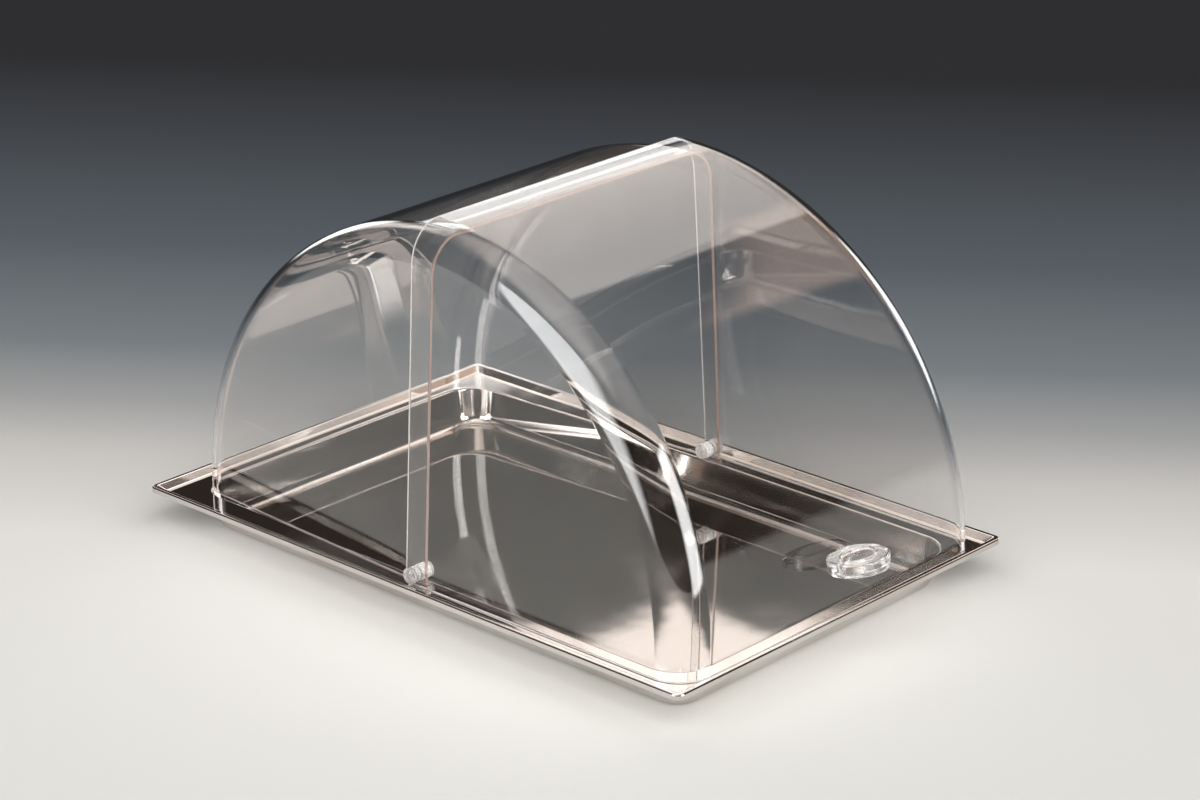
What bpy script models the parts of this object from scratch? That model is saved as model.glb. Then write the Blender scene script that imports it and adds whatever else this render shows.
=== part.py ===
"""Countertop bread display bin: a polished steel tray under a clear roll-top cover.

The cover is two nested quarter drums. The rear hood stands on the tray's ledge. The
front lid turns about two pivot pins near the tray and rolls back over the hood.

Frame: metres, +Z up, +X to the right, front (the handle) towards -Y. The origin is the
centre of the tray's underside.
"""

import math

import bmesh
import bpy
from mathutils import Vector

# Fits
FIT = 0.0003                    # gap between pieces that touch
RUNNING_FIT = 0.0003            # radial gap of a pin in its hole
OVERRUN = 0.010                 # how far a cutter runs past what it cuts

# Tray
TRAY_WIDTH = 0.400
TRAY_LENGTH = 0.600
TRAY_HEIGHT = 0.038
SHEET = 0.0010
RIM_CORNER_RADIUS = 0.007
RIM_INNER_RADIUS = 0.003        # corner of the slope inside the rim
RIM_FLAT = 0.0045               # flat top of the rim
LIP_HEIGHT = 0.005              # turned-down outer edge
STEP_RUN = 0.005                # slope from the rim to the ledge
LEDGE_DROP = 0.005
BASIN_SIDE_MARGIN = 0.0325      # tray edge to the basin's opening in the ledge
BASIN_END_MARGIN = 0.027
BASIN_CORNER_RADIUS = 0.028
BASIN_DRAFT = 0.006
RIM_ROUND = 0.0015
BASIN_EDGE_ROUND = 0.002
FLOOR_ROUND = 0.008

# Clear shells
WALL = 0.003
COVER_END_GAP = 0.0003          # lid's roll to the slope inside the rim
COVER_SIDE_GAP = 0.0073         # lid's side wall to that slope
HOOD_GAP = 0.0062               # between the two rolls
HOOD_CONE_SHARE = 0.055         # width lost per length from the axis
LID_LEAN_SHARE = 0.060          # width lost per height above the axis
SHELL_ROUND = 0.042             # corner between side wall and roll

# Pivot axis
AXIS_Y = -0.0015
AXIS_HEIGHT = 0.008             # above the ledge
HOOD_OVERLAP = 0.0103           # hood edge in front of the axis
LID_TILT = math.radians(0.4)    # rear edge of the lid, leaning back

# Pivot pin, washer, nut and cap
HEAD_RADIUS = 0.007
HEAD_LENGTH = 0.0045
HEAD_ROUND = 0.0012
SHOULDER_RADIUS = 0.0045
SHANK_RADIUS = 0.0030
WASHER_RADIUS = 0.0065
WASHER_THICKNESS = 0.0010
NUT_RADIUS = 0.0066
NUT_LENGTH = 0.0084
NUT_RIB_DEPTH = 0.0005
CAP_RADIUS = 0.0064
CAP_LENGTH = 0.0034
CAP_ROUND = 0.0014
CAP_SOCKET = 0.0016

# Handle
HANDLE_WIDTH = 0.053
HANDLE_DEPTH = 0.048            # full depth of its oval
HANDLE_FLAT = 0.0025            # cut off the oval where it seats on the lid
HANDLE_HEIGHT = 0.012
HANDLE_HOLE_WIDTH = 0.032
HANDLE_HOLE_DEPTH = 0.020
HANDLE_ABOVE_AXIS = 0.041
HANDLE_ROUND = 0.0016

# Facets
DRUM_STEPS = 120
CORNER_STEPS = 8
ROUND_STEPS = 4
SHELL_ROUND_STEPS = 6
PIN_STEPS = 40
NUT_RIBS = 18
OVAL_STEPS = 32

# Tray levels and outlines worked out from the sizes
LEDGE_Z = TRAY_HEIGHT - LEDGE_DROP
RIM_WIDTH = RIM_FLAT + STEP_RUN
BASIN_HALF_WIDTH = TRAY_WIDTH / 2 - BASIN_SIDE_MARGIN
BASIN_HALF_LENGTH = TRAY_LENGTH / 2 - BASIN_END_MARGIN

# Cover, which fits inside the rim
AXIS_Z = LEDGE_Z + AXIS_HEIGHT
SHELL_FOOT = AXIS_HEIGHT - FIT          # shells end this far below the axis
LID_RADIUS = TRAY_LENGTH / 2 - RIM_WIDTH + AXIS_Y - COVER_END_GAP
HOOD_RADIUS = LID_RADIUS - WALL - HOOD_GAP
LID_HALF_WIDTH = TRAY_WIDTH / 2 - RIM_WIDTH - COVER_SIDE_GAP    # at the pivot axis
LID_INNER_HALF = LID_HALF_WIDTH - WALL

# Stack of pieces along the axis, from the lid's wall inwards
WASHER_FACE = LID_INNER_HALF - LID_LEAN_SHARE * WASHER_RADIUS - FIT - WASHER_THICKNESS
HOOD_HALF_WIDTH = WASHER_FACE - FIT
HOOD_INNER_HALF = HOOD_HALF_WIDTH - WALL
HEAD_FACE = LID_HALF_WIDTH + LID_LEAN_SHARE * HEAD_RADIUS + FIT
NUT_FACE = HOOD_INNER_HALF - HOOD_CONE_SHARE * NUT_RADIUS - FIT
CAP_FACE = NUT_FACE - NUT_LENGTH - FIT
AXIS = Vector((0, AXIS_Y, AXIS_Z))


def clear_scene():
    for obj in list(bpy.data.objects):
        bpy.data.objects.remove(obj, do_unlink=True)


def material(name, colour, roughness, metallic=0.0, transmission=0.0):
    mat = bpy.data.materials.new(name)
    mat.use_nodes = True
    shader = mat.node_tree.nodes["Principled BSDF"]
    shader.inputs["Base Color"].default_value = (*colour, 1)
    shader.inputs["Roughness"].default_value = roughness
    shader.inputs["Metallic"].default_value = metallic
    shader.inputs["Transmission Weight"].default_value = transmission
    mat.diffuse_color = (*colour, 1)
    return mat


def add_object(name, mesh_builder, mat, place=None):
    """Link a new object with the mesh that mesh_builder holds."""
    bmesh.ops.recalc_face_normals(mesh_builder, faces=mesh_builder.faces)
    mesh = bpy.data.meshes.new(name)
    mesh_builder.to_mesh(mesh)
    mesh_builder.free()
    mesh.materials.append(mat)
    mesh.shade_smooth()
    mesh.set_sharp_from_angle(angle=math.radians(30))
    obj = bpy.data.objects.new(name, mesh)
    bpy.context.collection.objects.link(obj)
    obj.location = place or Vector()
    return obj


def boolean(target, cutter, operation):
    """Cut the target with a hidden cutter."""
    cutter.hide_render = True
    cutter.display_type = "WIRE"
    step = target.modifiers.new(cutter.name, "BOOLEAN")
    step.operation = operation
    step.solver = "EXACT"
    step.object = cutter


def arc(centre, radius, start, end, steps):
    """Points of an arc in a plane, from angle start to angle end."""
    return [(centre[0] + radius * math.cos(start + (end - start) * i / steps),
             centre[1] + radius * math.sin(start + (end - start) * i / steps))
            for i in range(steps + 1)]


def rounded_path(corners, steps):
    """Round each (point, radius) corner of an open path in a plane."""
    path = []
    for i, (point, radius) in enumerate(corners):
        here = Vector(point)
        if radius == 0 or i in (0, len(corners) - 1):
            path.append(tuple(here))
            continue
        back = (Vector(corners[i - 1][0]) - here).normalized()
        ahead = (Vector(corners[i + 1][0]) - here).normalized()
        half_angle = back.angle(ahead) / 2
        centre = here + (back + ahead).normalized() * radius / math.sin(half_angle)
        first = here + back * radius / math.tan(half_angle) - centre
        sweep = first.angle_signed(here + ahead * radius / math.tan(half_angle) - centre)
        start = math.atan2(first.y, first.x)
        path += arc(centre, radius, start, start - sweep, steps)
    return path


def loop_faces(builder, first, second):
    """Join two closed loops of vertices with quads."""
    count = len(first)
    for i in range(count):
        after = (i + 1) % count
        builder.faces.new((first[i], first[after], second[after], second[i]))


def turned(name, profile, mat, place, steps=PIN_STEPS):
    """Turn a profile of (x, radius) points about the X axis through its place."""
    builder = bmesh.new()
    verts = [builder.verts.new((x, 0, radius)) for x, radius in profile]
    edges = [builder.edges.new(pair) for pair in zip(verts, verts[1:])]
    bmesh.ops.spin(builder, geom=verts + edges, cent=(0, 0, 0), axis=(1, 0, 0),
                   angle=math.tau, steps=steps, use_merge=True)
    bmesh.ops.remove_doubles(builder, verts=builder.verts, dist=FIT / 30)
    return add_object(name, builder, mat, place)


def closed_profile(points):
    """A turned profile that ends where it began."""
    return points + [points[0]]


def prism(name, outline, half_width, mat, place):
    """Extrude a (y, z) outline to both sides of the place along X."""
    builder = bmesh.new()
    loops = [[builder.verts.new((x, y, z)) for y, z in outline] for x in (-half_width, half_width)]
    builder.faces.new(loops[0])
    builder.faces.new(reversed(loops[1]))
    loop_faces(builder, loops[0], loops[1])
    return add_object(name, builder, mat, place)


# Tray


def tray_ring(builder, half_width, half_length, radius, height):
    """One rounded-rectangle ring of the tray's upper face."""
    ring = []
    for quarter, (side_x, side_y) in enumerate(((1, 1), (-1, 1), (-1, -1), (1, -1))):
        centre = (side_x * (half_width - radius), side_y * (half_length - radius))
        start = quarter * math.pi / 2
        for x, y in arc(centre, radius, start, start + math.pi / 2, CORNER_STEPS):
            ring.append(builder.verts.new((x, y, height)))
    return ring


def build_tray(mat):
    """Pressed sheet: rim and basin are swept from their sections, then given thickness."""
    rim = rounded_path([
        ((0, TRAY_HEIGHT - LIP_HEIGHT), 0),
        ((0, TRAY_HEIGHT), RIM_ROUND),
        ((RIM_FLAT, TRAY_HEIGHT), RIM_ROUND),
        ((RIM_FLAT + STEP_RUN, LEDGE_Z), RIM_ROUND),
        ((RIM_FLAT + STEP_RUN + RIM_ROUND, LEDGE_Z), 0),
    ], ROUND_STEPS)
    basin = rounded_path([
        ((-BASIN_EDGE_ROUND, LEDGE_Z), 0),
        ((0, LEDGE_Z), BASIN_EDGE_ROUND),
        ((BASIN_DRAFT, SHEET), FLOOR_ROUND),
        ((BASIN_DRAFT + FLOOR_ROUND, SHEET), 0),
    ], ROUND_STEPS)
    builder = bmesh.new()
    rings = [tray_ring(builder, TRAY_WIDTH / 2 - inset, TRAY_LENGTH / 2 - inset,
                       max(RIM_CORNER_RADIUS - inset, RIM_INNER_RADIUS), height)
             for inset, height in rim]
    rings += [tray_ring(builder, BASIN_HALF_WIDTH - inset, BASIN_HALF_LENGTH - inset,
                        BASIN_CORNER_RADIUS - inset, height)
              for inset, height in basin]
    for outer, inner in zip(rings, rings[1:]):
        loop_faces(builder, outer, inner)
    builder.faces.new(rings[-1])
    tray = add_object("tray", builder, mat)
    if tray.data.polygons[-1].normal.z < 0:
        tray.data.flip_normals()
    sheet = tray.modifiers.new("sheet", "SOLIDIFY")
    sheet.thickness = SHEET
    sheet.offset = -1
    sheet.use_even_offset = True
    return tray


# Clear shells


def drum(name, half_width, radius, corner, mat, cone=0.0, lean=0.0):
    """A closed drum about the pivot axis.

    cone narrows its ends towards the rim of the drum, lean narrows it with height.
    """
    wall_end = half_width - cone * radius
    section = rounded_path([
        ((half_width, 0), 0), ((wall_end, radius), corner),
        ((-wall_end, radius), corner), ((-half_width, 0), 0),
    ], SHELL_ROUND_STEPS)
    obj = turned(name, section, mat, AXIS, steps=DRUM_STEPS)
    for vert in obj.data.vertices:
        vert.co.x *= 1 - lean * vert.co.z / half_width
    return obj


def hollow(shell, name, inner_half, inner_radius, mat, cone=0.0, lean=0.0):
    core = drum(name, inner_half, inner_radius, SHELL_ROUND - WALL, mat, cone, lean)
    boolean(shell, core, "DIFFERENCE")


def axis_hole(shell, name, radius, half_width, mat):
    reach = half_width + OVERRUN
    profile = [(-reach, 0), (-reach, radius), (reach, radius), (reach, 0)]
    boolean(shell, turned(name, profile, mat, AXIS), "DIFFERENCE")


def build_rear_hood(mat):
    """Rear quarter drum, with cone-shaped sides so the lid rolls past it."""
    top = HOOD_RADIUS + OVERRUN
    outline = [(-HOOD_OVERLAP, -SHELL_FOOT), (top, -SHELL_FOOT), (top, top), (-HOOD_OVERLAP, top)]
    hood = prism("rear_hood", outline, HOOD_HALF_WIDTH + OVERRUN, mat, AXIS)
    outside = drum("hood_outside", HOOD_HALF_WIDTH, HOOD_RADIUS, SHELL_ROUND, mat,
                   cone=HOOD_CONE_SHARE)
    boolean(hood, outside, "INTERSECT")
    hollow(hood, "hood_inside", HOOD_INNER_HALF, HOOD_RADIUS - WALL, mat, cone=HOOD_CONE_SHARE)
    axis_hole(hood, "hood_pivot_holes", SHANK_RADIUS + RUNNING_FIT, HOOD_HALF_WIDTH, mat)
    return hood


def build_front_lid(mat):
    """Front quarter drum, with its rear lower corners rounded about the pivot."""
    top = LID_RADIUS + OVERRUN
    corner = arc((0, 0), SHELL_FOOT, -math.pi / 2, -LID_TILT, CORNER_STEPS * 2)
    tangent_y, tangent_z = corner[-1]
    rear_top = tangent_y + (top - tangent_z) * math.tan(LID_TILT)
    outline = [(-top, -SHELL_FOOT), *corner, (rear_top, top), (-top, top)]
    lid = prism("front_lid", outline, LID_HALF_WIDTH + OVERRUN, mat, AXIS)
    outside = drum("lid_outside", LID_HALF_WIDTH, LID_RADIUS, SHELL_ROUND, mat,
                   lean=LID_LEAN_SHARE)
    boolean(lid, outside, "INTERSECT")
    hollow(lid, "lid_inside", LID_INNER_HALF, LID_RADIUS - WALL, mat, lean=LID_LEAN_SHARE)
    axis_hole(lid, "lid_pivot_holes", SHOULDER_RADIUS + RUNNING_FIT, LID_HALF_WIDTH, mat)
    return lid


# Pivots


def pivot_pin(name, side, mat):
    """Round head outside the lid, shoulder in the lid, shank through hood, nut and cap."""
    head_end = HEAD_FACE + HEAD_LENGTH
    shank_end = CAP_FACE - CAP_SOCKET + FIT
    profile = [
        (shank_end, 0), (shank_end, SHANK_RADIUS), (WASHER_FACE, SHANK_RADIUS),
        (WASHER_FACE, SHOULDER_RADIUS), (HEAD_FACE, SHOULDER_RADIUS), (HEAD_FACE, HEAD_RADIUS),
        (head_end - HEAD_ROUND, HEAD_RADIUS),
        *arc((head_end - HEAD_ROUND, HEAD_RADIUS - HEAD_ROUND), HEAD_ROUND, math.pi / 2, 0,
             ROUND_STEPS)[1:],
        (head_end, 0),
    ]
    return turned(name, [(side * x, r) for x, r in profile], mat, AXIS)


def pivot_washer(name, side, mat):
    bore = SHOULDER_RADIUS + RUNNING_FIT
    inner = WASHER_FACE
    outer = WASHER_FACE + WASHER_THICKNESS
    profile = closed_profile([(inner, bore), (inner, WASHER_RADIUS), (outer, WASHER_RADIUS),
                              (outer, bore)])
    return turned(name, [(side * x, r) for x, r in profile], mat, AXIS)


def pivot_nut(name, side, mat):
    """Barrel with ribs along it and a through bore."""
    builder = bmesh.new()
    count = NUT_RIBS * 2
    bore = SHANK_RADIUS + RUNNING_FIT
    loops = []
    for x in (side * NUT_FACE, side * (NUT_FACE - NUT_LENGTH)):
        for ribbed in (True, False):
            loop = []
            for i in range(count):
                root = NUT_RADIUS - NUT_RIB_DEPTH * (i % 2)
                radius = root if ribbed else bore
                angle = math.tau * i / count
                loop.append(builder.verts.new((x, radius * math.cos(angle), radius * math.sin(angle))))
            loops.append(loop)
    near_rib, near_bore, far_rib, far_bore = loops
    for first, second in ((near_rib, far_rib), (far_rib, far_bore), (far_bore, near_bore),
                          (near_bore, near_rib)):
        loop_faces(builder, first, second)
    return add_object(name, builder, mat, AXIS)


def pivot_cap(name, side, mat):
    """End cap that closes the nut over the shank's tip."""
    end = CAP_FACE - CAP_LENGTH
    bore = SHANK_RADIUS + RUNNING_FIT
    profile = [
        (CAP_FACE - CAP_SOCKET, 0), (CAP_FACE - CAP_SOCKET, bore), (CAP_FACE, bore),
        (CAP_FACE, CAP_RADIUS), (end + CAP_ROUND, CAP_RADIUS),
        *arc((end + CAP_ROUND, CAP_RADIUS - CAP_ROUND), CAP_ROUND, math.pi / 2, math.pi,
             ROUND_STEPS)[1:],
        (end, 0),
    ]
    return turned(name, [(side * x, r) for x, r in profile], mat, AXIS)


# Handle


def oval_point(width, depth, centre, angle):
    """Point (x, reach) of an oval centred in front of the seat."""
    return width / 2 * math.cos(angle), centre + depth / 2 * math.sin(angle)


def build_handle(mat):
    """Thick oval finger loop that stands square to the lid's roll."""
    builder = bmesh.new()
    centre = HANDLE_DEPTH / 2 - HANDLE_FLAT
    seat_angle = math.asin(-centre / (HANDLE_DEPTH / 2))
    outer, inner = [], []
    for i in range(OVAL_STEPS):
        share = i / (OVAL_STEPS - 1)
        angle = seat_angle + (math.pi - 2 * seat_angle) * share
        outer.append(oval_point(HANDLE_WIDTH, HANDLE_DEPTH, centre, angle))
        angle = -math.pi / 2 + math.tau * (i + 0.5) / OVAL_STEPS
        inner.append(oval_point(HANDLE_HOLE_WIDTH, HANDLE_HOLE_DEPTH, centre, angle))
    loops = []
    for z in (-HANDLE_HEIGHT / 2, HANDLE_HEIGHT / 2):
        for outline in (outer, inner):
            loops.append([builder.verts.new((x, -y, z)) for x, y in outline])
    low_outer, low_inner, high_outer, high_inner = loops
    for first, second in ((low_outer, high_outer), (high_outer, high_inner),
                          (high_inner, low_inner), (low_inner, low_outer)):
        loop_faces(builder, first, second)
    rise = math.asin(HANDLE_ABOVE_AXIS / LID_RADIUS)
    seat = LID_RADIUS + FIT
    place = AXIS + Vector((0, -seat * math.cos(rise), seat * math.sin(rise)))
    handle = add_object("lid_handle", builder, mat, place)
    handle.rotation_euler.x = -rise
    bevel = handle.modifiers.new("soft_edges", "BEVEL")
    bevel.width = HANDLE_ROUND
    bevel.segments = ROUND_STEPS // 2
    bevel.limit_method = "ANGLE"
    bevel.angle_limit = math.radians(40)
    return handle


def main():
    clear_scene()
    steel = material("polished_steel", (0.62, 0.59, 0.56), 0.12, metallic=1.0)
    clear = material("clear_plastic", (0.92, 0.92, 0.93), 0.04, transmission=0.9)
    handle_clear = material("clear_handle", (0.90, 0.91, 0.93), 0.05, transmission=0.9)
    milky = material("milky_plastic", (0.86, 0.86, 0.85), 0.25, transmission=0.4)
    build_tray(steel)
    build_rear_hood(clear)
    lid = build_front_lid(clear)
    handle = build_handle(handle_clear)
    handle.location -= lid.location
    handle.parent = lid
    for side, word in ((-1, "left"), (1, "right")):
        pivot_pin(f"pivot_pin_{word}", side, milky)
        pivot_washer(f"pivot_washer_{word}", side, milky)
        pivot_nut(f"pivot_nut_{word}", side, milky)
        pivot_cap(f"pivot_cap_{word}", side, milky)


main()
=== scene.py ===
"""Dresses the countertop display bin: polished tray, clear roll-top cover, finger loop and pivots.

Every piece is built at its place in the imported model's frame, in metres, with the front
(the finger loop) towards -Y and +Z up.
"""

import logging
import math
from dataclasses import dataclass, field
from enum import Enum
from typing import Any, ClassVar, Iterable, Optional, Sequence, Union

import bmesh
import bpy
from mathutils import Matrix, Vector


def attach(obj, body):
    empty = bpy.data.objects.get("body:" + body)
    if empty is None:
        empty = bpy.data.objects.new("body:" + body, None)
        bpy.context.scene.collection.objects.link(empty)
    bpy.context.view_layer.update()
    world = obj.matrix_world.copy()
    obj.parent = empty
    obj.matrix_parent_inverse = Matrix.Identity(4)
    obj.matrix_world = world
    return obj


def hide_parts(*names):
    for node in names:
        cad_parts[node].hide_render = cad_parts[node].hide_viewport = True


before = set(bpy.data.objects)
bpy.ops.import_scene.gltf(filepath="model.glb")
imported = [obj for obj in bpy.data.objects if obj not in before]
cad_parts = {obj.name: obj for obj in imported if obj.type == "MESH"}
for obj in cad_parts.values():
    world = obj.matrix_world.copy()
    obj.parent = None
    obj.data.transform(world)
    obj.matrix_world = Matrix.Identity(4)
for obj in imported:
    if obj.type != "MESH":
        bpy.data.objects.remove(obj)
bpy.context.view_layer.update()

Point2 = tuple[float, float]
Point3 = tuple[float, float, float]
Colour = tuple[float, float, float]
Rows = list[list[int]]

LOG = logging.getLogger("display_bin")
PIVOT = Vector((0.0, -0.0015, 0.041))
SHARP_ANGLE = math.radians(40)
FLAT_WEIGHT = 90


class Side(Enum):
    """The two ends of the pivot axis."""

    LEFT = -1
    RIGHT = 1

    @property
    def word(self) -> str:
        """The side's name, as the model's nodes spell it."""
        return self.name.lower()


class Slot(Enum):
    """The record's material slots."""

    STEEL = "polished_steel"
    COVER = "clear_cover"
    HANDLE = "clear_handle"
    PIVOT = "clear_pivot"
    MILKY = "milky_plastic"


def linear(shade: Colour) -> Colour:
    """Turn a screen's colour, 0 to 255 in each channel, into the renderer's linear light."""
    shares = [value / 255 for value in shade]
    return tuple(share / 12.92 if share <= 0.04045 else ((share + 0.055) / 1.055) ** 2.4
                 for share in shares)


def put_in_scene(name: str, data: bpy.types.ID) -> bpy.types.Object:
    """Make an object from its mesh, lamp or lens, and link it.

    Args:
        name: the object's name.
        data: what it holds.

    Returns:
        The linked object.
    """
    item = bpy.data.objects.new(name, data)
    bpy.context.scene.collection.objects.link(item)
    return item


# Nodes


class Signal:
    """A number that travels between nodes, with Python's arithmetic."""

    def __init__(self, sheet: "NodeSheet", socket: bpy.types.NodeSocket) -> None:
        """Wrap an output socket of a node on the sheet."""
        self.sheet = sheet
        self.socket = socket

    def __add__(self, other: Any) -> "Signal":
        """self + other."""
        return self.sheet.math("ADD", self, other)

    __radd__ = __add__

    def __sub__(self, other: Any) -> "Signal":
        """self - other."""
        return self.sheet.math("SUBTRACT", self, other)

    def __rsub__(self, other: Any) -> "Signal":
        """other - self."""
        return self.sheet.math("SUBTRACT", other, self)

    def __mul__(self, other: Any) -> "Signal":
        """self * other."""
        return self.sheet.math("MULTIPLY", self, other)

    __rmul__ = __mul__

    def __truediv__(self, other: Any) -> "Signal":
        """self / other."""
        return self.sheet.math("DIVIDE", self, other)

    def larger(self, other: Any) -> "Signal":
        """The larger of the two."""
        return self.sheet.math("MAXIMUM", self, other)

    def between(self, low: float, high: float) -> "Signal":
        """Stretch low..high to 0..1 with soft ends.

        Args:
            low: where the result is 0.
            high: where the result is 1.

        Returns:
            The stretched value.
        """
        return self.sheet.node("ShaderNodeMapRange", {"interpolation_type": "SMOOTHSTEP"},
                               {"Value": self, "From Min": low, "From Max": high}, "Result")


class NodeSheet:
    """Lays the nodes of one material, lamp, world or shape.

    Each further layer of scratches is tipped and shifted by LAYER_TIP and LAYER_SHIFT.
    """

    LAYER_TIP = (0.3, 0.5)
    LAYER_SHIFT = (0.37, 0.11)
    LAYER_LEVEL = 0.2

    def __init__(self, tree: bpy.types.NodeTree) -> None:
        """Start on an empty tree."""
        self.tree = tree
        tree.nodes.clear()

    def node(self, kind: str, settings: Optional[dict[str, Any]] = None,
             sockets: Optional[dict[Union[str, int], Any]] = None,
             output: Union[str, int] = 0) -> Signal:
        """Lay one node.

        Args:
            kind: the node's type.
            settings: its properties, and "stops" for a colour ramp, set before the sockets.
            sockets: values or Signals for its inputs, by name or number.
            output: which output to return.

        Returns:
            That output.
        """
        made = self.tree.nodes.new(kind)
        for name, value in (settings or {}).items():
            if name == "stops":
                self._set_stops(made.color_ramp, value)
            else:
                setattr(made, name, value)
        for name, value in (sockets or {}).items():
            socket = self._pick(made.inputs, name)
            if isinstance(value, Signal):
                self.tree.links.new(value.socket, socket)
            elif isinstance(value, tuple) and len(value) == 3 and socket.type == "RGBA":
                socket.default_value = (*value, 1.0)
            else:
                socket.default_value = value
        return Signal(self, self._pick(made.outputs, output))

    def math(self, operation: str, *values: Any) -> Signal:
        """Lay one Math node on the values and return its result."""
        return self.node("ShaderNodeMath", {"operation": operation}, dict(enumerate(values)))

    @staticmethod
    def _pick(sockets: Iterable[bpy.types.NodeSocket],
              name: Union[str, int]) -> Optional[bpy.types.NodeSocket]:
        """Find one of a node's sockets that are in use.

        Args:
            sockets: the node's inputs or outputs.
            name: the socket's name, or its number among those in use.

        Returns:
            The socket, or None if the node has no such number.
        """
        used = [item for item in sockets if item.enabled]
        if isinstance(name, int):
            return used[name] if name < len(used) else None
        return next(item for item in used if item.name == name)

    @staticmethod
    def _set_stops(ramp: bpy.types.ColorRamp, stops: Sequence[tuple[float, Colour]]) -> None:
        """Write the stops of a colour ramp.

        Args:
            ramp: the ramp.
            stops: (place, colour) pairs in rising order.
        """
        while len(ramp.elements) > 1:
            ramp.elements.remove(ramp.elements[-1])
        ramp.elements[0].position, ramp.elements[0].color = stops[0][0], (*stops[0][1], 1.0)
        for place, colour in stops[1:]:
            ramp.elements.new(place).color = (*colour, 1.0)

    def place(self, turn: Point3 = (0, 0, 0), scale: Point3 = (1, 1, 1),
              shift: Point3 = (0, 0, 0)) -> Signal:
        """Object coordinates through a Mapping node.

        Args:
            turn: rotation in radians.
            scale: scale along each axis.
            shift: offset.

        Returns:
            The mapped coordinates.
        """
        coords = self.node("ShaderNodeTexCoord", output="Object")
        return self.node("ShaderNodeMapping", {}, {"Vector": coords, "Rotation": turn,
                                                   "Scale": scale, "Location": shift})

    def noise(self, scale: float, detail: float = 3.0, rough: float = 0.5,
              where: Optional[Signal] = None, warp: float = 0.0) -> Signal:
        """A noise pattern on object coordinates.

        Args:
            scale: cells per metre.
            detail: octaves.
            rough: share of each finer octave.
            where: coordinates, if not the plain ones.
            warp: distortion.

        Returns:
            The pattern, around 0.5.
        """
        return self.node("ShaderNodeTexNoise", {},
                         {"Vector": where or self.place(), "Scale": scale, "Detail": detail,
                          "Roughness": rough, "Distortion": warp})

    def scratches(self, turns: Iterable[float], length: float, width: float,
                  band: Point2) -> Signal:
        """Fine straight scratches in several directions.

        Args:
            turns: directions of the scratches about Z, in radians.
            length: about how long one is.
            width: about how wide one is.
            band: from where to where in the noise a scratch rises; a lower band has more.

        Returns:
            0 where smooth, up to 1 in a scratch.
        """
        total: Optional[Signal] = None
        for i, turn in enumerate(turns):
            where = self.place(turn=(*(tip * i for tip in self.LAYER_TIP), turn),
                               scale=(1 / length, 1 / width, 1 / width),
                               shift=(*(step * i for step in self.LAYER_SHIFT),
                                      self.LAYER_LEVEL))
            lines = self.noise(1.0, detail=1.0, rough=0.4, where=where).between(*band)
            total = lines if total is None else total.larger(lines)
        return total

    def blend(self, first: Any, second: Any, share: Any) -> Signal:
        """Mix two colours.

        Args:
            first: the colour at 0.
            second: the colour at 1.
            share: how much of the second.

        Returns:
            The mixed colour.
        """
        return self.node("ShaderNodeMix", {"data_type": "RGBA"},
                         {"Factor": share, "A": first, "B": second}, "Result")

    def bump(self, height: Signal, distance: float) -> Signal:
        """Turn a height pattern into a normal."""
        return self.node("ShaderNodeBump", {}, {"Height": height, "Distance": distance})

    def surface(self, shader: Signal) -> None:
        """Send a shader to the output."""
        self.node("ShaderNodeOutputMaterial", {}, {"Surface": shader})


def new_material(name: str) -> tuple[bpy.types.Material, NodeSheet]:
    """Start a material.

    Args:
        name: its name.

    Returns:
        The empty material and its sheet.
    """
    material = bpy.data.materials.new(name)
    material.use_nodes = True
    return material, NodeSheet(material.node_tree)


# Finishes


@dataclass(frozen=True)
class MirrorSteel:
    """Mirror-polished stainless sheet that has been wiped many times."""

    tint: Colour = (0.69, 0.66, 0.64)
    smear_tint: Colour = (0.60, 0.565, 0.53)
    gloss: float = 0.035
    smear: float = 0.06
    smear_cells: float = 9.0
    smear_band: Point2 = (0.42, 0.78)
    wave_cells: float = 7.0
    ripple_cells: float = 30.0
    ripple_share: float = 0.25
    wave_height: float = 0.00016

    def make(self) -> bpy.types.Material:
        """Lay the nodes.

        Returns:
            The material.
        """
        material, sheet = new_material("mirror_steel")
        smears = sheet.noise(self.smear_cells, detail=2.0, warp=0.6).between(*self.smear_band)
        ripples = sheet.noise(self.ripple_cells, detail=1.0)
        waves = sheet.noise(self.wave_cells, detail=1.0) + self.ripple_share * ripples
        sheet.surface(sheet.node("ShaderNodeBsdfPrincipled", {}, {
            "Base Color": sheet.blend(self.tint, self.smear_tint, smears),
            "Metallic": 1.0, "Roughness": self.gloss + self.smear * smears,
            "Normal": sheet.bump(waves, self.wave_height)}))
        return material


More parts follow.
